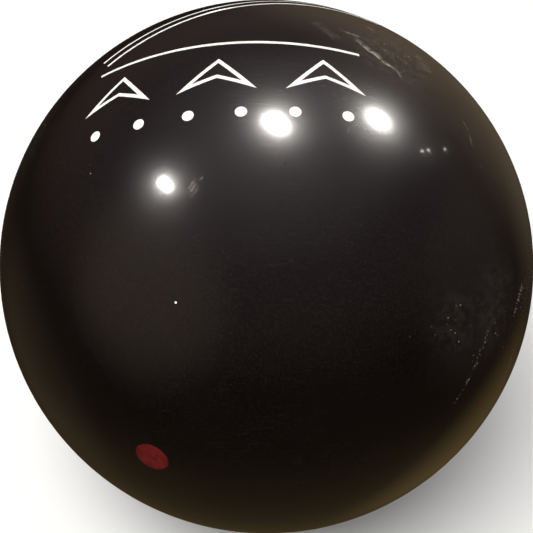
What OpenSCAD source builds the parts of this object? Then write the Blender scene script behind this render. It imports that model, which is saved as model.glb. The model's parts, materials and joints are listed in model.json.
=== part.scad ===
// Ten-pin bowling ball: a ball cast in three layers round a weight block,
// drilled for a right hand, with glued finger inserts and an
// interchangeable thumb that a quarter turn of a cam locks in.
// The origin is the ball's centre and +Z is up as the ball lies.
// A direction from the centre is an azimuth from +X and a height above XY.

/* [Ball] */
// Diameter of the finished ball
ball_d = 217.2; // [216:0.1:218.3]
// Thickness of the coverstock
cover_t = 22.9; // [20:0.1:25]

/* [Locator pin] */
// Azimuth of the pin
pin_az = -112; // [-120:1:-100]
// Height of the pin
pin_el = -2; // [-10:1:10]
// Diameter of the pin
pin_d = 12.7; // [12:0.1:14]

/* [Weight block] */
// Radius of the round head, on the pin's side
bulb_r = 42; // [36:1:44]
// Distance from the ball's centre to the head's centre
bulb_up = 14; // [10:1:18]
// Radius of the neck where it enters the head
neck_r = 38; // [34:1:40]
// Radius of the foot
foot_r = 18; // [14:1:22]
// Distance from the ball's centre to the foot's face
foot_down = 48; // [44:1:54]
// Depth of the pin's socket in the head
pin_socket = 6; // [4:1:10]

/* [Grip] */
// Azimuth of the thumb hole
thumb_az = 119; // [113:1:125]
// Height of the thumb hole
thumb_el = 24; // [18:1:30]
// Direction from the thumb hole to the finger holes, from straight down
grip_turn = 60; // [54:1:66]
// Span along the surface, from the thumb's edge to the fingers' edges
span = 104.8; // [98:0.1:110]
// Bridge of solid ball left between the two finger holes
bridge = 6.4; // [5:0.1:8]

/* [Finger inserts] */
// Outer diameter of an insert, and diameter of its drilled hole
insert_d = 24.6; // [23.8:0.1:25.4]
// Inner diameter, where the finger goes
finger_d = 21; // [19:0.1:22]
// Length of an insert
insert_len = 32; // [26:1:36]
// Depth of a finger hole
finger_depth = 44; // [40:1:48]
// Width of the bevel round each mouth
mouth_bevel = 0.9; // [0.5:0.1:1.2]

/* [Interchangeable thumb] */
// Outer diameter of the outer sleeve, and diameter of its drilled hole
sleeve_d = 38.1; // [38:0.1:38.6]
// Outer diameter of the inner sleeve, which lifts out
slug_d = 32.4; // [32:0.1:32.8]
// Diameter of the thumb hole
thumb_d = 25.4; // [22:0.1:26]
// Distance from the ball's centre to the bottom of the thumb's drilled hole
sleeve_bottom = 43; // [42:0.5:46]
// Floor of the outer sleeve
sleeve_floor = 2.5; // [2:0.1:3]
// Radial clearance between the two sleeves
slide_gap = 0.05; // [0.03:0.01:0.08]

/* [Thumb lock] */
// Diameter of the cam's disc
cam_d = 27; // [26:0.1:27.4]
// Thickness of the cam's disc
cam_t = 2.5; // [2:0.1:3]
// Offset of the cam's pivot from the sleeves' axis
cam_offset = 3; // [2.8:0.1:3]
// Diameter of the cam's pivot
pivot_d = 8; // [7:0.1:9]
// Web of the inner sleeve that carries the pivot
web_t = 3; // [2.5:0.1:4]
// Size across the flats of the key's socket
key_flats = 4.76; // [4:0.01:5]

/* [Engraved mark] */
// Depth of the engraving
mark_depth = 0.6; // [0.4:0.1:1]
// How far the paint lies below the surface
paint_low = 0.05; // [0.02:0.01:0.2]
// Azimuth of the pole that the mark's rows curve round
mark_az = 90; // [85:1:95]
// Height of that pole
mark_el = 28.5; // [24:0.5:32]
// Turn about the pole to the middle of the rows
mark_turn = -9.5; // [-15:0.5:-5]
// Width of the rule and of the arrows' lines
line_w = 1.5; // [0.8:0.1:1.8]
// Width of the two stripes
stripe_w = 1.8; // [0.8:0.1:2.4]
// Diameter of the dots
dot_d = 4.2; // [2:0.1:5]
// Diameter of the centre-of-gravity mark
cg_d = 0.8; // [0.5:0.1:3]

/* [Hidden] */
$fn = 96;

ball_r = ball_d / 2;
core_r = ball_r - cover_t;
insert_r = insert_d / 2;
finger_r = finger_d / 2;
sleeve_r = sleeve_d / 2;
slug_r = slug_d / 2;
thumb_r = thumb_d / 2;
past = 4;               // how far a cutter runs past the ball's surface
over = 1;               // how far a cutter runs past an inside face

// The grip: the angle from the thumb to the fingers, and the two parallel
// finger holes, one on each side of the line that runs to the thumb
grip_angle = (span + finger_r + thumb_r) / ball_r * 180 / PI;
finger_offset = (insert_d + bridge) / 2;
finger_tilt = asin(finger_offset / ball_r);
finger_mouth = ball_r * cos(finger_tilt);
insert_bottom = finger_mouth - insert_len;
RING = 1;
MIDDLE = -1;

// Thicknesses and gaps along the thumb's axis
lip_t = 0.8;
ring_t = 0.8;
key_floor = 1;
pivot_above_ring = 1;
under_cam = 0.4;
cam_to_lip = 0.2;
lip_to_slug = 0.03;
cam_to_washer = 0.1;
washer_to_slug = 0.13;
web_to_ring = 0.17;
pivot_to_floor = 0.3;

// Heights along the thumb's axis, from the ball's centre
chamber_z = sleeve_bottom + sleeve_floor;
cam_z = chamber_z + under_cam;
cam_top = cam_z + cam_t;
lip_z = cam_top + cam_to_lip;
lip_top = lip_z + lip_t;
slug_z = lip_top + lip_to_slug;
washer_z = cam_top + cam_to_washer;
washer_t = slug_z - washer_z - washer_to_slug;
web_top = slug_z + web_t;
ring_z = web_top + web_to_ring;
pivot_top = ring_z + ring_t + pivot_above_ring;
thumb_floor = pivot_top + pivot_to_floor;

// Radial widths and clearances in the thumb lock
lip_gap = 1.5;
chamber_gap = 0.16;
pivot_gap = 0.05;
washer_gap = 0.2;
pocket_gap = 0.8;
groove_depth = 0.5;
ring_w = 2;
washer_w = 3;

bore_r = slug_r + slide_gap;
lip_r = cam_d / 2 + lip_gap;
chamber_r = cam_d / 2 + cam_offset * sqrt(2) + chamber_gap;
pivot_r = pivot_d / 2;
pivot_hole_r = pivot_r + pivot_gap;
pivot_groove_r = pivot_r - groove_depth;
snap_ring_r = pivot_r + ring_w;
washer_r = pivot_r + washer_w;
pocket_r = cam_offset + snap_ring_r + pocket_gap;

// The mark: the poles and polar angles of its lines and rows, where each line
// starts and how far it sweeps, and how the shapes on a row are spread
rule_az = 87.5;
rule_el = 14.5;
rule_polar = 78.3;
rule_start = 144.9;
rule_sweep = 53.4;
arrow_polar = 73;
arrow_step = 20.8;
dot_polar = 82.6;
dot_step = 9.8;
dot_count = 6;
arrow_points = [[-11.5, -6], [0, 6.5], [11.5, -6], [0, -1.5]];
stripe_az = -74;
stripe_el = 29.4;
stripe_polar = 77.6;
stripe_gap = 3.6;
stripe_start = 150;
stripe_sweep = 61;
cg_az = -109;
cg_el = 32;

// The unit vector to the right of a line from one point to the next
function right_of(from, to) = [to[1] - from[1], from[0] - to[0]] / norm(to - from);

// A clockwise outline with every side moved inwards, and its corners mitred
function inset(points, distance) = let (count = len(points)) [
    for (i = [0 : count - 1])
        let (
            before = right_of(points[(i + count - 1) % count], points[i]),
            after = right_of(points[i], points[(i + 1) % count])
        )
        points[i] + distance * (before + after) / (1 + before * after)
];

// Turns +Z to a direction; +X then points down the ball
module aim(az, el) {
    rotate([0, 90 - el, az]) children();
}

module at_pin() {
    aim(pin_az, pin_el) children();
}

module at_thumb() {
    aim(thumb_az, thumb_el) children();
}

module at_pivot() {
    at_thumb() translate([cam_offset, 0, 0]) children();
}

module at_bridge() {
    at_thumb() rotate([0, 0, grip_turn]) rotate([0, grip_angle, 0]) children();
}

module at_finger(side) {
    at_bridge() translate([0, -side * finger_offset, 0]) children();
}

// A rod along +Z between two heights
module rod(r, low, high) {
    translate([0, 0, low]) cylinder(r = r, h = high - low);
}

// A cone about a line from the ball's centre that breaks a mouth's edge. It
// starts inside the bore, so it leaves no ledge where the bore is tilted.
module bevel(r) {
    inside = 0.6;
    mouth_z = sqrt(pow(ball_r, 2) - pow(r + mouth_bevel, 2));
    translate([0, 0, mouth_z - mouth_bevel - inside])
        cylinder(r1 = r - inside, r2 = r + mouth_bevel + past, h = inside + mouth_bevel + past);
}

// A solid trimmed to the ball's own surface
module flush() {
    intersection() {
        sphere(r = ball_r);
        children();
    }
}

module block_form() {
    at_pin() union() {
        translate([0, 0, bulb_up]) sphere(r = bulb_r);
        translate([0, 0, -foot_down])
            cylinder(r1 = foot_r, r2 = neck_r, h = foot_down + bulb_up);
    }
}

module pin_form(top) {
    at_pin() rod(pin_d / 2, bulb_up + bulb_r - pin_socket, top);
}

module finger_holes() {
    for (side = [MIDDLE, RING])
        at_finger(side) rod(insert_r, finger_mouth - finger_depth, ball_r + past);
}

module thumb_hole() {
    at_thumb() rod(sleeve_r, sleeve_bottom, ball_r + past);
}

// Places a shape on a row of the mark: X runs along the row, Y to the pole
module on_row(polar, turn) {
    aim(mark_az, mark_el) rotate([0, 0, 180 + mark_turn + turn])
        rotate([0, polar, 0]) rotate([0, 0, 90]) children();
}

// A band of the mark along a circle about +Z, from the groove's floor to top
module band(polar, width, start, sweep, top) {
    half = width / 2 / ball_r * 180 / PI;
    floor_r = ball_r - mark_depth;
    rotate([0, 0, start]) rotate_extrude(angle = sweep)
        polygon([
            for (corner = [[floor_r, -1], [top, -1], [top, 1], [floor_r, 1]])
                corner[0] * [sin(polar + corner[1] * half), cos(polar + corner[1] * half)]
        ]);
}

// Upright shapes kept only between the groove's floor and top
module engraved(top) {
    difference() {
        intersection() {
            sphere(r = top);
            children();
        }
        sphere(r = ball_r - mark_depth);
    }
}

// One outlined arrow: the line lies half inside its points and half outside
module arrow() {
    translate([0, 0, ball_r - past]) difference() {
        linear_extrude(height = 2 * past) polygon(inset(arrow_points, -line_w / 2));
        translate([0, 0, -over]) linear_extrude(height = 2 * (past + over))
            polygon(inset(arrow_points, line_w / 2));
    }
}

module rule_form(top) {
    aim(rule_az, rule_el) band(rule_polar, line_w, rule_start, rule_sweep, top);
}

module arcs_form(top) {
    for (i = [0, 1])
        aim(stripe_az, stripe_el)
            band(stripe_polar + i * stripe_gap, stripe_w, stripe_start, stripe_sweep, top);
}

module arrows_form(top) {
    for (i = [-1 : 1])
        engraved(top) on_row(arrow_polar, i * arrow_step) arrow();
}

module dots_form(top) {
    for (i = [0 : dot_count - 1])
        engraved(top) on_row(dot_polar, (i - (dot_count - 1) / 2) * dot_step)
            rod(dot_d / 2, ball_r - past, ball_r + past);
}

module cg_form(top) {
    engraved(top) aim(cg_az, cg_el) rod(cg_d / 2, ball_r - past, ball_r + past);
}

module coverstock() {
    color("#171514") difference() {
        sphere(r = ball_r);
        sphere(r = core_r);
        pin_form(ball_r + past);
        finger_holes();
        thumb_hole();
        rule_form(ball_r + over);
        arcs_form(ball_r + over);
        arrows_form(ball_r + over);
        dots_form(ball_r + over);
        cg_form(ball_r + over);
    }
}

module outer_core() {
    color("#8d8a80") difference() {
        sphere(r = core_r);
        block_form();
        pin_form(ball_r);
        finger_holes();
        thumb_hole();
    }
}

module weight_block() {
    color("#c9a13a") difference() {
        block_form();
        pin_form(ball_r);
        finger_holes();
        thumb_hole();
    }
}

module core_pin() {
    color("#5c1517") flush() pin_form(ball_r + past);
}

module mark_rule() {
    color("#efeee8") rule_form(ball_r - paint_low);
}

module mark_arcs() {
    color("#efeee8") arcs_form(ball_r - paint_low);
}

module mark_arrows() {
    color("#efeee8") arrows_form(ball_r - paint_low);
}

module mark_dots() {
    color("#efeee8") dots_form(ball_r - paint_low);
}

module cg_mark() {
    color("#efeee8") cg_form(ball_r - paint_low);
}

module finger_insert(side) {
    color("#23262b") difference() {
        flush() at_finger(side) rod(insert_r, insert_bottom, ball_r + past);
        at_finger(side) rod(finger_r, insert_bottom - over, ball_r + past);
        at_bridge() rotate([side * finger_tilt, 0, 0]) bevel(finger_r);
    }
}

module middle_finger_insert() {
    finger_insert(MIDDLE);
}

module ring_finger_insert() {
    finger_insert(RING);
}

module thumb_outer_sleeve() {
    color("#1d1d1f") difference() {
        flush() thumb_hole();
        at_thumb() {
            rod(chamber_r, chamber_z, lip_z);
            rod(lip_r, chamber_z, lip_top + over);
            rod(bore_r, lip_top, ball_r + past);
        }
    }
}

module thumb_inner_sleeve() {
    color("#33363c") difference() {
        flush() at_thumb() rod(slug_r, slug_z, ball_r + past);
        at_thumb() rod(thumb_r, thumb_floor, ball_r + past);
        at_thumb() rod(pocket_r, web_top, thumb_floor + over);
        at_thumb() bevel(thumb_r);
        at_pivot() rod(pivot_hole_r, slug_z - over, web_top + over);
    }
}

module thumb_lock_cam() {
    color("#b08d4a") difference() {
        union() {
            at_thumb() rod(cam_d / 2, cam_z, cam_top);
            at_pivot() rod(pivot_groove_r, cam_z, pivot_top);
            at_pivot() rod(pivot_r, cam_z, ring_z);
            at_pivot() rod(pivot_r, ring_z + ring_t, pivot_top);
        }
        at_pivot() translate([0, 0, cam_top + key_floor])
            cylinder(d = key_flats / cos(30), h = pivot_top - cam_top, $fn = 6);
    }
}

module cam_washer() {
    color("#9a9da1") at_pivot() difference() {
        rod(washer_r, washer_z, washer_z + washer_t);
        rod(pivot_r + washer_gap, washer_z - over, washer_z + washer_t + over);
    }
}

module cam_snap_ring() {
    color("#5f6266") at_pivot() difference() {
        rod(snap_ring_r, ring_z, ring_z + ring_t);
        rod(pivot_groove_r, ring_z - over, ring_z + ring_t + over);
        translate([-pivot_r / 2, 0, ring_z - over])
            cube([pivot_r, snap_ring_r + over, ring_t + 2 * over]);
    }
}

coverstock();
outer_core();
weight_block();
core_pin();
mark_rule();
mark_arcs();
mark_arrows();
mark_dots();
cg_mark();
middle_finger_insert();
ring_finger_insert();
thumb_outer_sleeve();
thumb_inner_sleeve();
thumb_lock_cam();
cam_washer();
cam_snap_ring();
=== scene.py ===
import json
import math
import random

import bmesh
import bpy
import numpy as np
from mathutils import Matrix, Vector


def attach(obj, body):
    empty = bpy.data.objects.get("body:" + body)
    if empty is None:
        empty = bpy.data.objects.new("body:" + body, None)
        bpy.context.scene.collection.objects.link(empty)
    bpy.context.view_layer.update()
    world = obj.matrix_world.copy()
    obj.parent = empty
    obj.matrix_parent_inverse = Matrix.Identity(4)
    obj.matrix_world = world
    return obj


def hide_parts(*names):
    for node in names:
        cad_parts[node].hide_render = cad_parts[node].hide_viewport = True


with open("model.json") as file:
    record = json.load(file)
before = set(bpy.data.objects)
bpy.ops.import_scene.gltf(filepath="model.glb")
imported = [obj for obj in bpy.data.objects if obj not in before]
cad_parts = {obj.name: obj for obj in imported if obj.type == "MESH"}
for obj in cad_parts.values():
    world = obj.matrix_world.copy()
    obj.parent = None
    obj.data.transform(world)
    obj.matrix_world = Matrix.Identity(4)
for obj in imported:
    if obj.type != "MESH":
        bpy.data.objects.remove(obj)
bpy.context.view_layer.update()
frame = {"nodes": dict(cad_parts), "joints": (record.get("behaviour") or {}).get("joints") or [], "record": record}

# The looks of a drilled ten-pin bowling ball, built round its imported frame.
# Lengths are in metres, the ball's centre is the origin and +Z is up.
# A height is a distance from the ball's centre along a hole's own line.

nodes = frame["nodes"]
mounts = {mount["name"]: mount for mount in frame["record"]["mounts"]}
joints = {joint["name"]: joint for joint in frame["joints"]}

MM = 0.001
BALL_R = -mounts["floor_contact"]["pos_m"][2]
COVER_T = 22.9 * MM             # thickness of the coverstock
CORE_R = BALL_R - COVER_T
EDGE = 0.22 * MM                # the broken edges where two pieces meet
LIP = 1.2 * MM                  # the rounded edge of a hole that takes a finger
PAST = 4 * MM                   # how far a cutter runs past what it cuts
GLUE = 0.03 * MM                # the glue line round a fixed piece
SHARP = 30                      # degrees between faces that keep a sharp edge

PIECE_SIDES = 160               # flats round a turned piece
BORE_SIDES = 192                # flats round a drilled hole
PIVOT_SIDES = 64                # flats round the hole for the cam's pivot

# Radii, lengths and heights of the fitted pieces
PIN_AT = (-112, -2)             # azimuth and elevation of the pin
PIN_R = 6.35 * MM
PIN_FOOT = 50 * MM
INSERT_R = 12.3 * MM
INSERT_LEN = 32 * MM
FINGER_R = mounts["middle_finger_hole"]["dims"]["r_mm"] * MM
FINGER_DEPTH = 44 * MM
THUMB_R = mounts["thumb_hole"]["dims"]["r_mm"] * MM
THUMB_FLOOR = 54.7 * MM
SLEEVE_R = 19.05 * MM
SLEEVE_BORE_R = 16.25 * MM
SLEEVE_FOOT = 43 * MM
LIP_RING_R = 15 * MM            # the lip that the cam locks under
LIP_TOP = 49.4 * MM
CHAMBER_R = 17.9 * MM           # the cam's chamber below that lip
CHAMBER_LOW = 45.5 * MM
CHAMBER_TOP = 48.6 * MM
SLUG_R = 16.2 * MM
SLUG_FOOT = 49.43 * MM
WEB_TOP = 52.43 * MM            # the web that holds the cam's pivot
PIVOT_HOLE_R = 4.05 * MM
KEY_POCKET_R = 9.8 * MM

MARKS = ("mark_rule", "mark_arcs", "mark_arrows", "mark_dots", "cg_mark")
PAINT_LOW = 0.3 * MM            # the paint's top is less than this below the surface
GROOVE_OVER = 0.5 * MM          # how far a groove's cutter stands above the surface

CHIP_SEED = 5
CHIPS = (  # azimuth, elevation and size in mm of each chip
    (-38, 12, 0.9), (-20, 41, 0.5), (-61, 23, 0.55), (-84, 58, 0.45),
    (-134, 33, 0.6), (-150, 18, 0.7), (-118, -22, 0.8), (-75, -30, 0.6),
    (35, 52, 0.8), (62, 8, 0.7), (150, 60, 0.6), (-172, -12, 0.9), (98, -35, 0.7),
)


def toward(azimuth, elevation):
    """The unit vector of a direction given in degrees."""
    a, e = math.radians(azimuth), math.radians(elevation)
    return Vector((math.cos(a) * math.cos(e), math.sin(a) * math.cos(e), math.sin(e)))


# ---------------------------------------------------------------- meshes

class Line:
    """The line that a hole or a turned piece is centred on."""

    def __init__(self, point, direction):
        self.up = Vector(direction).normalized()
        point = Vector(point)
        self.foot = point - self.up * point.dot(self.up)
        self.side = self.up.orthogonal().normalized()
        self.across = self.up.cross(self.side)

    def out(self, angle):
        return self.side * math.cos(angle) + self.across * math.sin(angle)

    def point(self, angle, radius, height):
        return self.foot + self.out(angle) * radius + self.up * height

    def top(self, angle, radius):
        """The height at which the ball's surface lies at that radius."""
        reach = self.foot + self.out(angle) * radius
        return math.sqrt(BALL_R ** 2 - reach.length_squared)

    def mouth(self):
        """The height at which the line itself leaves the ball."""
        return self.top(0, 0)


def add_object(name, mesh):
    made = bpy.data.objects.new(name, mesh)
    bpy.context.scene.collection.objects.link(made)
    return made


def from_bmesh(name, bm):
    """An object with the bmesh's shape. The bmesh is used up."""
    mesh = bpy.data.meshes.new(name)
    bm.to_mesh(mesh)
    bm.free()
    return add_object(name, mesh)


def turned(name, line, outline, sides=PIECE_SIDES):
    """A solid turned round a line. outline(top) gives its (radius, height)
    points in order, where top(radius) is the height of the ball's surface."""
    bm = bmesh.new()
    columns = []
    for i in range(sides):
        angle = 2 * math.pi * i / sides
        columns.append(outline(lambda radius: line.top(angle, radius)))
    rings = []
    for j, (radius, height) in enumerate(columns[0]):
        if radius == 0:
            rings.append([bm.verts.new(line.point(0, 0, height))] * sides)
            continue
        rings.append([
            bm.verts.new(line.point(2 * math.pi * i / sides, *column[j]))
            for i, column in enumerate(columns)
        ])
    on_axis = rings[0][0] is rings[0][1]
    for low, high in zip(rings, rings[1:] + ([] if on_axis else rings[:1])):
        for i in range(sides):
            k = (i + 1) % sides
            corners = list(dict.fromkeys((low[i], low[k], high[k], high[i])))
            bm.faces.new(corners)
    bmesh.ops.recalc_face_normals(bm, faces=bm.faces)
    return from_bmesh(name, bm)


def globe(name, radius, fineness):
    bm = bmesh.new()
    bmesh.ops.create_icosphere(bm, subdivisions=fineness, radius=radius)
    return from_bmesh(name, bm)


def joined(name, parts):
    """One object in place of several that don't touch."""
    bm = bmesh.new()
    for part in parts:
        bm.from_mesh(part.data)
        bpy.data.meshes.remove(part.data)
    return from_bmesh(name, bm)


def cut(piece, cutter):
    """Cuts one closed mesh out of another and removes the cutter."""
    step = piece.modifiers.new("cut", "BOOLEAN")
    step.operation = "DIFFERENCE"
    step.solver = "MANIFOLD"
    step.object = cutter
    bpy.context.view_layer.update()
    graph = bpy.context.evaluated_depsgraph_get()
    result = bpy.data.meshes.new_from_object(piece.evaluated_get(graph))
    piece.modifiers.clear()
    piece.data = result
    bpy.data.objects.remove(cutter)


def smoothed(piece):
    """Smooth shading, apart from the sharp edges."""
    piece.data.shade_smooth()
    piece.data.set_sharp_from_angle(angle=math.radians(SHARP))


def rounded(radius, top, steps=7):
    """A rounded mouth, from the ball's surface down into a bore."""
    rim = top(radius + LIP)
    turns = [math.pi / 2 * i / steps for i in range(steps + 1)]
    return [
        (radius + LIP * (1 - math.sin(turn)), rim - LIP * (1 - math.cos(turn)))
        for turn in turns
    ]


def crown(outer, inner, top, steps=3):
    """Points across the ball's surface, from one radius in to another."""
    radii = [outer + (inner - outer) * i / steps for i in range(steps + 1)]
    return [(radius, top(radius)) for radius in radii]


def shoulder(radius, top):
    """A wall that meets the surface at a broken edge."""
    return [(radius, top(radius) - EDGE)] + crown(radius - EDGE, radius - 1.2 * EDGE, top, 1)


pin_line = Line((0, 0, 0), toward(*PIN_AT))
thumb_line = Line((0, 0, 0), mounts["thumb_hole"]["axis"])
pivot = joints["cam_quarter_turn"]
pivot_line = Line(pivot["pos_m"], pivot["axis"])
finger_lines = {}
for finger in ("middle", "ring"):
    hole = mounts[finger + "_finger_hole"]
    finger_lines[finger] = Line(hole["pos_m"], hole["axis"])


def drilled(name, line, radius, low):
    """A cutter for a drilled hole with a broken edge at the surface."""
    def outline(top):
        return [
            (0, low),
            (radius, low),
            (radius, top(radius) - EDGE),
            (radius + EDGE + PAST, top(radius) + PAST),
            (0, BALL_R + PAST),
        ]
    return turned(name, line, outline, BORE_SIDES)


def drillings(channel_r):
    """Cutters for the pin's channel, from inside the block out, and the three holes."""
    cutters = [
        drilled("pin_channel", pin_line, channel_r, PIN_FOOT - PAST),
        drilled("thumb_drilling", thumb_line, SLEEVE_R, SLEEVE_FOOT),
    ]
    for finger, line in finger_lines.items():
        low = line.mouth() - FINGER_DEPTH
        cutters.append(drilled(finger + "_drilling", line, INSERT_R, low))
    return cutters


def cad_solid(name, node):
    """A closed mesh with a CAD node's shape, to cut with."""
    bm = bmesh.new()
    bm.from_mesh(nodes[node].data)
    bmesh.ops.remove_doubles(bm, verts=bm.verts, dist=MM / 1000)
    bmesh.ops.recalc_face_normals(bm, faces=bm.faces)
    return from_bmesh(name, bm)


def groove(node):
    """A cutter for an engraved mark: the paint's solid drawn out past the surface."""
    made = cad_solid("groove_" + node, node)
    for vert in made.data.vertices:
        if vert.co.length > BALL_R - PAINT_LOW:
            vert.co = vert.co.normalized() * (BALL_R + GROOVE_OVER)
    return made


def chip(direction, size, chance):
    """A cutter for a small ragged chip in the surface."""
    width = 0.7         # a chip's width and height, in sizes
    height = 0.5
    depth = 0.22 * size
    ragged = 0.22
    made = globe("chip", 1, 3)
    turn = direction.to_track_quat("Z", "Y").to_matrix()
    for vert in made.data.vertices:
        rough = 1 + chance.uniform(-ragged, ragged)
        flattened = Vector((vert.co.x * width, vert.co.y, vert.co.z * height)) * size * rough
        vert.co = direction * (BALL_R + height * size - depth) + turn @ flattened
    return made


def values_of(collection, attribute, count, kind):
    """One attribute of each item in a mesh's collection, as an array."""
    values = np.empty(len(collection) * count, kind)
    collection.foreach_get(attribute, values)
    return values.reshape(-1, count) if count > 1 else values


def true_normals(cover):
    """Gives the ball's own surface the normals of a true sphere."""
    mesh = cover.data
    normals = values_of(mesh.corner_normals, "vector", 3, np.float32)
    points = values_of(mesh.vertices, "co", 3, np.float32)
    corners = values_of(mesh.loops, "vertex_index", 1, np.int32)
    totals = values_of(mesh.polygons, "loop_total", 1, np.int32)
    middles = values_of(mesh.polygons, "center", 3, np.float32)
    outside = np.linalg.norm(middles, axis=1) > BALL_R - 0.02 * MM
    chosen = np.repeat(outside, totals)
    radial = points[corners]
    radial /= np.linalg.norm(radial, axis=1, keepdims=True)
    normals[chosen] = radial[chosen]
    mesh.normals_split_custom_set(normals.tolist())


def make_cover():
    cover = globe("cover", BALL_R, 7)
    cut(cover, globe("hollow", CORE_R, 6))
    cutters = drillings(PIN_R) + [groove(node) for node in MARKS]
    chance = random.Random(CHIP_SEED)
    for azimuth, elevation, size in CHIPS:
        cutters.append(chip(toward(azimuth, elevation), size * MM, chance))
    cut(cover, joined("cutters", cutters))
    smoothed(cover)
    true_normals(cover)
    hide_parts("coverstock")
    return cover


def make_core():
    """The filler, cast round the block; its channel clears the block's own socket."""
    core = globe("core", CORE_R, 6)
    cut(core, cad_solid("block_form", "weight_block"))
    cut(core, joined("core_drillings", drillings(PIN_R + GLUE)))
    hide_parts("outer_core")
    return core


def make_pin():
    def outline(top):
        return (
            [(0, PIN_FOOT), (PIN_R - GLUE, PIN_FOOT)]
            + shoulder(PIN_R - GLUE, top)
            + crown(PIN_R - 2 * EDGE, PIN_R / 8, top, 8)
            + [(0, top(0))]
        )
    pin = turned("pin", pin_line, outline)
    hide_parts("core_pin")
    return pin


def make_insert(finger):
    line = finger_lines[finger]
    foot = line.mouth() - INSERT_LEN

    def outline(top):
        return (
            [(INSERT_R - GLUE, foot)]
            + shoulder(INSERT_R - GLUE, top)
            + rounded(FINGER_R, top)
            + [(FINGER_R, foot)]
        )
    insert = turned(finger + "_insert", line, outline)
    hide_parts(finger + "_finger_insert")
    return insert


def make_outer_sleeve():
    def outline(top):
        return (
            [(0, SLEEVE_FOOT), (SLEEVE_R - GLUE, SLEEVE_FOOT)]
            + shoulder(SLEEVE_R - GLUE, top)
            + crown(SLEEVE_R - 3 * EDGE, SLEEVE_BORE_R + EDGE, top)
            + [
                (SLEEVE_BORE_R, top(SLEEVE_BORE_R) - EDGE),
                (SLEEVE_BORE_R, LIP_TOP),
                (LIP_RING_R, LIP_TOP),
                (LIP_RING_R, CHAMBER_TOP),
                (CHAMBER_R, CHAMBER_TOP),
                (CHAMBER_R, CHAMBER_LOW),
                (0, CHAMBER_LOW),
            ]
        )
    sleeve = turned("outer_sleeve", thumb_line, outline)
    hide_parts("thumb_outer_sleeve")
    return sleeve


def make_slug():
    def outline(top):
        return (
            [(0, SLUG_FOOT), (SLUG_R - EDGE, SLUG_FOOT), (SLUG_R, SLUG_FOOT + EDGE)]
            + shoulder(SLUG_R, top)
            + crown(SLUG_R - 2 * EDGE, THUMB_R + 1.2 * LIP, top)
            + rounded(THUMB_R, top)
            + [
                (THUMB_R, THUMB_FLOOR),
                (KEY_POCKET_R, THUMB_FLOOR),
                (KEY_POCKET_R, WEB_TOP),
                (0, WEB_TOP),
            ]
        )

    def pivot_outline(top):
        low, high = SLUG_FOOT - MM, WEB_TOP + MM
        return [(0, low), (PIVOT_HOLE_R, low), (PIVOT_HOLE_R, high), (0, high)]
    slug = turned("thumb_slug", thumb_line, outline)
    cut(slug, turned("pivot_hole", pivot_line, pivot_outline, PIVOT_SIDES))
    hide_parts("thumb_inner_sleeve")
    return slug


# ------------------------------------------------------------- materials

class Graph:
    """A node tree, with short calls that add nodes to it and give their results."""

    def __init__(self, tree):
        self.tree = tree

    def add(self, kind, inputs=None, **settings):
        """Adds a node. An input is a number, a colour or another node's socket."""
        node = self.tree.nodes.new("ShaderNode" + kind)
        for setting, value in settings.items():
            setattr(node, setting, value)
        for socket, value in (inputs or {}).items():
            self.feed(node.inputs[socket], value)
        return node

    def feed(self, socket, value):
        if isinstance(value, bpy.types.NodeSocket):
            self.tree.links.new(value, socket)
        else:
            socket.default_value = value

    def number(self, operation, first, second=0.0):
        return self.add("Math", {0: first, 1: second}, operation=operation).outputs[0]

    def vector(self, operation, first, second=(0.0, 0.0, 0.0)):
        """A vector, or the number that a length, distance or dot product gives."""
        node = self.add("VectorMath", {0: first, 1: second}, operation=operation)
        measures = operation in ("LENGTH", "DISTANCE", "DOT_PRODUCT")
        return node.outputs["Value" if measures else "Vector"]

    def between(self, value, low, high, start=0.0, end=1.0):
        """A smooth step from start to end as the value goes from low to high."""
        inputs = {"Value": value, 1: low, 2: high, 3: start, 4: end}
        return self.add("MapRange", inputs, interpolation_type="SMOOTHSTEP").outputs[0]

    def mix(self, amount, first, second, **settings):
        """A colour mix. Sockets 6 and 7 are the node's two colours."""
        inputs = {"Factor": amount, 6: first, 7: second}
        return self.add("Mix", inputs, data_type="RGBA", **settings).outputs[2]

    def greatest(self, values):
        total = values[0]
        for value in values[1:]:
            total = self.number("MAXIMUM", total, value)
        return total

    def product(self, values):
        total = values[0]
        for value in values[1:]:
            total = self.number("MULTIPLY", total, value)
        return total


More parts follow.
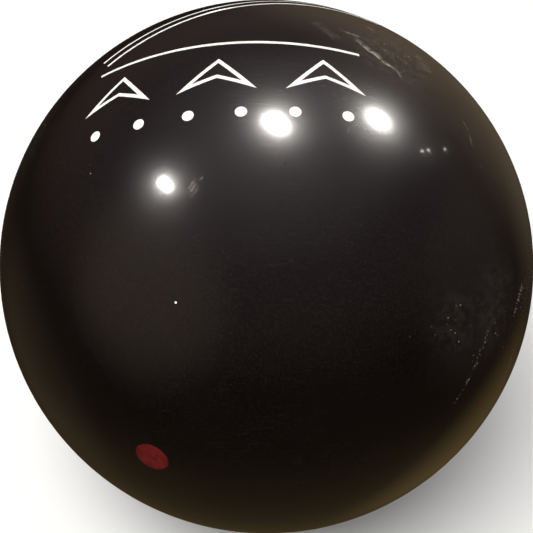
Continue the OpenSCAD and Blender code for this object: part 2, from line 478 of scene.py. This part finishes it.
class Look(Graph):
    """A Principled material on an object's own coordinates."""

    def __init__(self, name, **values):
        self.material = bpy.data.materials.new(name)
        self.material.use_nodes = True
        super().__init__(self.material.node_tree)
        self.shader = self.tree.nodes["Principled BSDF"]
        for socket, value in values.items():
            self.shader.inputs[socket.replace("_", " ")].default_value = value
        self.place = self.add("TexCoord").outputs["Object"]

    def rotated(self, rotation, scale=(1, 1, 1), place=None):
        """The place turned by Euler angles in degrees, then stretched."""
        angles = [math.radians(angle) for angle in rotation]
        inputs = {"Vector": place or self.place, "Rotation": angles, "Scale": scale}
        return self.add("Mapping", inputs).outputs[0]

    def noise(self, scale, detail=2.0, place=None, warp=0.0, roughness=0.5):
        inputs = {
            "Vector": place or self.place, "Scale": scale, "Detail": detail,
            "Distortion": warp, "Roughness": roughness,
        }
        return self.add("TexNoise", inputs).outputs[0]

    def cells(self, scale):
        return self.add("TexVoronoi", {"Vector": self.place, "Scale": scale})

    def near(self, point, inner, outer, most=1.0):
        """The most close to a point, and nothing beyond the outer distance."""
        return self.between(self.vector("DISTANCE", self.place, point), inner, outer, most, 0.0)

    def bump(self, height, distance, strength=1.0, under=None):
        inputs = {"Height": height, "Distance": distance, "Strength": strength}
        if under is not None:
            inputs["Normal"] = under
        return self.add("Bump", inputs).outputs[0]

    def finish(self, colour, roughness=None, normal=None):
        sockets = {"Base Color": colour, "Roughness": roughness, "Normal": normal}
        for socket, value in sockets.items():
            if value is not None:
                self.tree.links.new(value, self.shader.inputs[socket])
        return self.material


def rgb(red, green, blue):
    return (red, green, blue, 1.0)


SCRATCHED = (  # how each set of fine scratches is turned, spread and drawn, and where it is kept
    ((0, 35, 20), 420, 0.006, 0.56),
    ((60, 10, -30), 380, 0.005, 0.57),
    ((15, -50, 70), 520, 0.006, 0.58),
)
STROKES = (  # each scuff's two ends as azimuth and elevation, half width in mm and strength
    ((24, 74.5), (14, 71.5), 1.2, 0.42), ((9, 73), (-9, 64.5), 1.1, 0.70),
    ((13, 73), (-2, 67.5), 0.7, 0.30), ((3, 69.5), (-12, 62.5), 0.6, 0.25),
    ((31, 66), (26, 65), 0.8, 0.40), ((40, 78), (2, 76), 3.0, 0.08),
    ((17, 56), (3, 57), 4.5, 0.09), ((-10, 48), (-17, 44), 0.7, 0.16),
    ((-113.5, 50.6), (-111.6, 54.6), 1.0, 0.11), ((-112, 51.2), (-110.2, 55.2), 0.8, 0.14),
    ((-114.6, 50.2), (-113.4, 52.4), 0.8, 0.09), ((-111.4, 50.2), (-109.8, 53.2), 1.0, 0.08),
    ((-54, 63), (-58, 61.5), 0.7, 0.12), ((140, 42), (128, 54), 0.6, 0.26),
    ((66, -14), (54, -2), 0.6, 0.26), ((-152, -30), (-138, -36), 0.6, 0.26),
    ((172, -28), (164, -39), 0.5, 0.24), ((92, -26), (84, -36), 0.7, 0.26),
    ((30, 22), (36, 38), 0.4, 0.24),
)
DOTTED = (  # the same for scuffs worn down to rows of specks
    ((-41, 15), (-46, 9), 1.1, 0.38), ((-44.5, 10.5), (-52, 3), 0.9, 0.38),
    ((-30, 3), (-33, -4), 0.8, 0.40), ((-24, 15), (-31, 11), 1.6, 0.55),
    ((120, 12), (104, -8), 0.8, 0.45),
)
SPECKLED = (  # where specks gather: azimuth, elevation, reach in mm and how thickly
    (-24, 13, 16, 0.42), (-50, 21, 17, 0.34), (-42, 12, 26, 0.26), (-147, 46, 8, 0.36),
    (8, 62, 22, 0.42), (60, 10, 26, 0.38), (150, -8, 24, 0.38), (178, 36, 18, 0.30),
)
FILMED = (  # the same for where a film of lane oil and dust lies
    (6, 64, 26, 0.16), (34, 58, 22, 0.12), (-36, 18, 24, 0.06), (-24, 13, 12, 0.09),
    (-49, 21, 18, 0.045),
    (60, 10, 30, 0.06), (150, -8, 28, 0.07), (178, 36, 20, 0.05),
)


def pigmented(look):
    """Black resin, cloudy at large and grainy close up."""
    mottle = look.between(look.noise(26, 6, roughness=0.75), 0.3, 0.7)
    grain = look.between(look.noise(1300, 4, roughness=0.7), 0.46, 0.62)
    colour = look.mix(mottle, rgb(0.0010, 0.0005, 0.0003), rgb(0.0024, 0.0014, 0.0010))
    return look.mix(grain, colour, rgb(0.0062, 0.0038, 0.0032))


def scratches(look, rotation, spread, width, keep, seed):
    """Long thin lines that run one way over the ball, broken here and there."""
    lengthways = 0.06 * spread
    flow = look.rotated(rotation, (lengthways, spread, spread))
    level = look.noise(1.0, 1.5, place=flow, warp=0.25)
    away = look.number("ABSOLUTE", look.number("SUBTRACT", level, 0.5))
    line = look.between(away, 0.0, width, 1.0, 0.0)
    patch = look.noise(26 + seed, 1.0, place=look.rotated((seed * 31, seed * 17, 0)))
    return look.product([line, look.between(patch, keep, keep + 0.08)])


def stroke(look, place, start, end, width):
    """A scuff from one direction to another, faint at its sides and its ends."""
    first, last = toward(*start), toward(*end)
    middle = (first + last) / 2 * BALL_R
    half = (first - last).length / 2 * BALL_R
    side = look.vector("DOT_PRODUCT", place, first.cross(last).normalized())
    off = look.number("ABSOLUTE", side)
    along = look.vector("DISTANCE", place, middle)
    line = look.between(off, 0.2 * width * MM, width * MM, 1.0, 0.0)
    ends = look.between(along, 0.75 * half, 1.05 * half, 1.0, 0.0)
    return look.product([line, ends])


def wavering(look, scale, reach):
    """The place, drifting a little to and fro."""
    drawn = look.add("TexNoise", {"Vector": look.place, "Scale": scale, "Detail": 2.0})
    centred = look.vector("SUBTRACT", drawn.outputs["Color"], (0.5, 0.5, 0.5))
    drift = look.add("VectorMath", {0: centred, "Scale": reach}, operation="SCALE")
    return look.vector("ADD", look.place, drift.outputs[0])


def scuffs(look):
    place = wavering(look, 150.0, 4 * MM)
    broken = look.between(look.noise(330, 5, roughness=0.7), 0.34, 0.60)
    dotted = look.between(look.noise(1400, 2), 0.56, 0.62)
    return look.greatest([
        look.product([stroke(look, place, start, end, width), gaps, strength])
        for table, gaps in ((STROKES, broken), (DOTTED, dotted))
        for start, end, width, strength in table
    ])


def patches(look, table):
    """The thickness in the middle of each patch in the table, fading out at its reach."""
    return look.greatest([
        look.near(toward(azimuth, elevation) * BALL_R, 0.2 * reach * MM, reach * MM, thickness)
        for azimuth, elevation, reach, thickness in table
    ])


def speckles(look):
    """Small specks, rare and tiny except where the table gathers them."""
    cells = look.cells(640.0)
    drawn = look.add("SeparateColor", {0: cells.outputs["Color"]}).outputs[0]
    crowded = look.number("ADD", drawn, patches(look, SPECKLED))
    size = look.between(crowded, 0.97, 1.24, 0.0, 0.20)
    return look.number("LESS_THAN", cells.outputs["Distance"], size)


def filmed(look):
    dust = look.between(look.noise(280, 7, warp=0.3, roughness=0.78), 0.40, 0.70)
    return look.product([patches(look, FILMED), dust])


def cover_look():
    look = Look("polished_resin", IOR=1.5, Coat_Weight=1.0, Coat_Roughness=0.075, Coat_IOR=1.5)
    fine = look.greatest([
        scratches(look, *way, seed) for seed, way in enumerate(SCRATCHED, 1)
    ])
    scuffed = scuffs(look)
    specks = speckles(look)
    skin = BALL_R - 0.03 * MM
    below = look.number("LESS_THAN", look.vector("LENGTH", look.place), skin)

    colour = pigmented(look)
    for amount, tone in (
        (look.product([fine, 0.03]), rgb(0.10, 0.095, 0.085)),
        (filmed(look), rgb(0.30, 0.26, 0.21)),
        (scuffed, rgb(0.44, 0.37, 0.31)),
        (look.product([specks, 0.36]), rgb(0.45, 0.42, 0.36)),
        (look.product([below, 0.4]), rgb(0.03, 0.027, 0.026)),
    ):
        colour = look.mix(amount, colour, tone)

    cloud = look.noise(9, 4, place=look.rotated((20, 40, 10)), warp=0.6)
    haze = look.between(cloud, 0.30, 0.75, 0.20, 0.28)
    worn = look.greatest([look.product([fine, 0.14]), scuffed, specks, below])
    dulled = look.number("ADD", haze, look.product([worn, 0.4]))
    rough = look.number("MINIMUM", dulled, 0.8)
    ripple = look.bump(look.noise(60, 2), 0.01 * MM)
    return look.finish(colour, rough, look.bump(scuffed, -0.03 * MM, under=ripple))


def pin_look():
    look = Look("pin_resin", Specular_IOR_Level=0.08, Coat_Weight=0.02, Coat_Roughness=0.3)
    blotches = look.between(look.noise(420, 4, warp=0.4), 0.3, 0.7)
    grain = look.noise(1800, 3)
    colour = look.mix(blotches, rgb(0.062, 0.0022, 0.0018), rgb(0.105, 0.0050, 0.0040))
    colour = look.mix(look.between(grain, 0.60, 0.72), colour, rgb(0.135, 0.014, 0.012))
    rough = look.between(grain, 0.3, 0.7, 0.42, 0.62)
    return look.finish(colour, rough, look.bump(grain, 0.03 * MM, 0.6))


def paint_look():
    look = Look("mark_paint", IOR=1.45)
    uneven = look.noise(420, 4)
    grime = look.noise(1300, 3, place=look.rotated((20, 70, 0)))
    thin = look.between(uneven, 0.3, 0.75)
    colour = look.mix(thin, rgb(0.74, 0.72, 0.66), rgb(0.90, 0.89, 0.85))
    colour = look.mix(look.between(grime, 0.64, 0.74), colour, rgb(0.30, 0.27, 0.23))
    rough = look.between(uneven, 0.3, 0.7, 0.40, 0.60)
    return look.finish(colour, rough, look.bump(grime, 0.05 * MM, 0.8))


def vinyl_look():
    look = Look("insert_vinyl", IOR=1.48)
    stipple = look.cells(1500.0).outputs["Distance"]
    worn = look.noise(160, 4, warp=0.5)
    pale = look.between(worn, 0.35, 0.75)
    colour = look.mix(pale, rgb(0.018, 0.020, 0.026), rgb(0.050, 0.053, 0.062))
    rough = look.between(worn, 0.3, 0.7, 0.62, 0.46)
    return look.finish(colour, rough, look.bump(stipple, 0.06 * MM, 0.7))


def turned_look(name, line, dark, light, smooth, rough, ring_depth, **values):
    """A material turned on a lathe, with fine rings round its line."""
    look = Look(name, **values)
    upright = line.up.rotation_difference(Vector((0, 0, 1))).to_euler()
    shifted = look.vector("SUBTRACT", look.place, line.foot)
    local = look.rotated([math.degrees(angle) for angle in upright], place=shifted)
    x, y, z = look.add("SeparateXYZ", {0: local}).outputs
    radius = look.vector("LENGTH", look.add("CombineXYZ", {0: x, 1: y}).outputs[0])
    profile = look.add("CombineXYZ", {0: radius, 1: z}).outputs[0]
    rings = look.noise(3800, 2, place=profile)
    worn = look.noise(260, 6, warp=0.2, roughness=0.6)
    colour = look.mix(look.between(worn, 0.25, 0.85), dark, light)
    colour = look.mix(look.between(rings, 0.35, 0.75, 0.0, 0.25), colour, light)
    gloss = look.between(look.number("ADD", rings, worn), 0.7, 1.3, smooth, rough)
    return look.finish(colour, gloss, look.bump(rings, ring_depth, 0.8))


def urethane_look(name, dark, light, smooth, rough):
    return turned_look(name, thumb_line, dark, light, smooth, rough, 0.02 * MM)


def metal_look(name, dark, light, smooth, rough, ring_depth):
    return turned_look(name, pivot_line, dark, light, smooth, rough, ring_depth, Metallic=1.0)


def cast_look(name, base, speck, other):
    """A cast filler with specks of two kinds."""
    look = Look(name, IOR=1.5)
    grain = look.noise(500, 4)
    colour = look.mix(look.between(grain, 0.4, 0.6), base, other)
    grit = look.between(look.cells(900.0).outputs["Color"], 0.72, 0.8)
    colour = look.mix(grit, colour, speck)
    rough = look.between(grain, 0.3, 0.7, 0.55, 0.8)
    return look.finish(colour, rough, look.bump(grain, 0.1 * MM, 0.6))


def give(objects, material):
    for piece in objects:
        if not piece.data.materials:
            piece.data.materials.append(None)
        for holder in piece.material_slots:
            holder.material = material


cover = make_cover()
core = make_core()
pin = make_pin()
inserts = [make_insert(finger) for finger in finger_lines]
outer_sleeve = make_outer_sleeve()
slug = make_slug()
for piece in (core, pin, *inserts, outer_sleeve, slug):
    smoothed(piece)
for piece in (cover, core, pin, *inserts, outer_sleeve):
    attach(piece, "ball")
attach(slug, "thumb_slug")

give([cover], cover_look())
give([pin], pin_look())
give([nodes[name] for name in MARKS], paint_look())
give(inserts, vinyl_look())
give([outer_sleeve], urethane_look(
    "outer_urethane", rgb(0.010, 0.010, 0.011), rgb(0.028, 0.027, 0.028), 0.24, 0.42,
))
give([slug], urethane_look(
    "slug_urethane", rgb(0.030, 0.033, 0.042), rgb(0.062, 0.066, 0.078), 0.22, 0.40,
))
give([nodes["thumb_lock_cam"]], metal_look(
    "cam_brass", rgb(0.55, 0.37, 0.13), rgb(0.80, 0.62, 0.30), 0.22, 0.42, 0.03 * MM,
))
give([nodes["cam_washer"], nodes["cam_snap_ring"]], metal_look(
    "stamped_steel", rgb(0.38, 0.39, 0.41), rgb(0.60, 0.61, 0.63), 0.25, 0.45, 0.02 * MM,
))
give([core], cast_look(
    "filler_casting", rgb(0.42, 0.40, 0.35), rgb(0.10, 0.09, 0.08), rgb(0.56, 0.54, 0.48),
))
give([nodes["weight_block"]], cast_look(
    "weight_casting", rgb(0.62, 0.40, 0.08), rgb(0.28, 0.13, 0.03), rgb(0.74, 0.52, 0.16),
))


# ------------------------------------------------------ studio and camera

BACKDROP = rgb(0.92, 0.915, 0.905)
FLOOR_R = 9.0
FADE_FROM = 0.4                 # where the floor starts to fade into the backdrop
FADE_TO = 2.2                   # and where it has faded

CEILING = 2.4                   # height of the ceiling lamps over the ball
FAR = 7                         # distance of the far lamps
LAMPS = (  # a row of three near ones, two of them long, and three far ones: place and radius
    (Vector((-1.96, -0.38, CEILING)), 0.086),
    (Vector((-1.85, -0.53, CEILING)), 0.082),
    (Vector((0.100, 0.395, CEILING)), 0.115),
    (Vector((0.195, 0.262, CEILING)), 0.102),
    (Vector((1.97, 1.17, CEILING)), 0.175),
    (toward(21, 31) * FAR, 0.024),
    (toward(23, 28) * FAR, 0.021),
    (toward(28, 20) * FAR, 0.015),
)
LAMP_SHELLS = (110, 30, 9, 4)   # radiance of a lamp's bulb and of each wider shell
LAMP_SPREAD = 1.25              # how much wider each shell is than the last
LAMP_TONE = (1.0, 0.96, 0.92)

SOFT_AT = Vector((-0.9, -1.1, 2.6))
SOFT_POWER = 95
SOFT_SIZE = 2.4
SOFT_TONE = (1.0, 0.985, 0.97)
FILL_TONE = rgb(1.0, 0.99, 0.975)
FILL_STRENGTH = 0.62

ROOM = (  # height of a direction, from straight down at 0 to straight up at 1, and its tone
    (0.0, rgb(0.058, 0.040, 0.019)),
    (0.06, rgb(0.052, 0.036, 0.017)),
    (0.16, rgb(0.026, 0.018, 0.010)),
    (0.40, rgb(0.012, 0.008, 0.006)),
    (0.50, rgb(0.044, 0.030, 0.026)),
    (0.65, rgb(0.085, 0.063, 0.060)),
    (0.80, rgb(0.097, 0.074, 0.078)),
    (0.93, rgb(0.222, 0.188, 0.196)),
    (1.0, rgb(0.360, 0.320, 0.330)),
)
GLOWS = (  # azimuth, elevation and reach in degrees of a paler part of the room, and its tone
    (60, -2, 38, rgb(0.123, 0.091, 0.060)),
    (0, -4, 36, rgb(0.050, 0.041, 0.037)),
    (-142, 16, 42, rgb(0.155, 0.125, 0.100)),
    (34, -55, 23, rgb(0.063, 0.042, 0.014)),
    (162, -38, 28, rgb(0.032, 0.024, 0.014)),
    (48, 42, 30, rgb(0.110, 0.094, 0.084)),
)

CAMERA_AT = (-90, 40)           # azimuth and elevation
CAMERA_AWAY = 4.6               # distance from the ball's centre, in ball radii
CAMERA_CROP = 0.998             # the frame's width over the outline's
SENSOR = 36                     # mm


def make_floor():
    """A round floor of pale paper that fades into the backdrop's tone far away."""
    bm = bmesh.new()
    bmesh.ops.create_circle(bm, cap_ends=True, segments=96, radius=FLOOR_R)
    floor = from_bmesh("floor", bm)
    floor.location.z = -BALL_R
    floor.visible_glossy = False
    look = Look("floor_paper", Roughness=0.9, Specular_IOR_Level=0.1, Emission_Color=BACKDROP)
    fade = look.between(look.vector("LENGTH", look.place), FADE_FROM, FADE_TO)
    paper = look.mix(look.noise(3, 3), rgb(0.82, 0.82, 0.815), rgb(0.85, 0.85, 0.845))
    look.feed(look.shader.inputs["Emission Strength"], fade)
    give([floor], look.finish(look.mix(fade, paper, rgb(0, 0, 0))))


def add_light(name, kind, place, power, tone):
    light = bpy.data.lights.new(name, kind)
    light.energy = power
    light.color = tone
    holder = bpy.data.objects.new(name, light)
    holder.location = place
    bpy.context.scene.collection.objects.link(holder)
    return holder


def make_lamps():
    """Small round ceiling lamps, which only the gloss shows, and one broad
    lamp that gives the soft light. Each ceiling lamp is a bright bulb inside
    wider and dimmer shells, so its reflection has a soft edge."""
    for i, (place, radius) in enumerate(LAMPS):
        for k, radiance in enumerate(LAMP_SHELLS):
            shell = radius * LAMP_SPREAD ** k
            power = 4 * math.pi ** 2 * shell ** 2 * radiance
            lamp = add_light(f"ceiling_lamp_{i}_{k}", "POINT", place, power, LAMP_TONE)
            lamp.data.shadow_soft_size = shell
            lamp.visible_diffuse = False
    soft = add_light("soft_lamp", "AREA", SOFT_AT, SOFT_POWER, SOFT_TONE)
    soft.data.shape = "DISK"
    soft.data.size = SOFT_SIZE
    soft.rotation_euler = (-soft.location).to_track_quat("-Z", "Y").to_euler()
    soft.visible_glossy = False


def room_tone(graph):
    """The dim room's tone in each direction."""
    direction = graph.add("TexCoord").outputs["Generated"]
    height = graph.add("SeparateXYZ", {0: direction}).outputs[2]
    level = graph.add("MapRange", {"Value": height, 1: -1.0, 2: 1.0}).outputs[0]
    ramp = graph.add("ValToRGB", {0: level})
    stops = ramp.color_ramp.elements
    stops[0].color = ROOM[0][1]
    stops[1].color = ROOM[-1][1]
    for stop, tone in ROOM[1:-1]:
        stops.new(stop).color = tone
    tone = ramp.outputs[0]
    for azimuth, elevation, reach, glow in GLOWS:
        facing = graph.vector("DOT_PRODUCT", direction, toward(azimuth, elevation))
        share = graph.between(facing, math.cos(math.radians(reach)), 1.0)
        tone = graph.mix(share, tone, glow, blend_type="ADD")
    return tone


def make_room():
    """The pale studio that the camera sees, and the dim room that gloss reflects."""
    world = bpy.data.worlds.new("room")
    bpy.context.scene.world = world
    world.use_nodes = True
    world.node_tree.nodes.clear()
    graph = Graph(world.node_tree)
    room = graph.add("Background", {"Color": room_tone(graph), "Strength": 1.0}).outputs[0]
    fill = graph.add("Background", {"Color": FILL_TONE, "Strength": FILL_STRENGTH}).outputs[0]
    seen = graph.add("Background", {"Color": BACKDROP, "Strength": 1.0}).outputs[0]
    ray = graph.add("LightPath").outputs
    lit = graph.add("MixShader", {0: ray["Is Glossy Ray"], 1: fill, 2: room}).outputs[0]
    whole = graph.add("MixShader", {0: ray["Is Camera Ray"], 1: lit, 2: seen}).outputs[0]
    graph.add("OutputWorld", {"Surface": whole})


def make_camera():
    """A camera at the photograph's distance and height, that the ball just fills."""
    outline = math.tan(math.asin(1 / CAMERA_AWAY))
    camera = bpy.data.cameras.new("camera")
    camera.sensor_width = SENSOR
    camera.lens = SENSOR / 2 / (outline * CAMERA_CROP)
    camera.clip_start = 0.01
    holder = bpy.data.objects.new("camera", camera)
    holder.location = toward(*CAMERA_AT) * BALL_R * CAMERA_AWAY
    holder.rotation_euler = (-holder.location).to_track_quat("-Z", "Y").to_euler()
    bpy.context.scene.collection.objects.link(holder)
    bpy.context.scene.camera = holder


make_floor()
make_lamps()
make_room()
make_camera()
bpy.context.scene.view_settings.view_transform = "Standard"
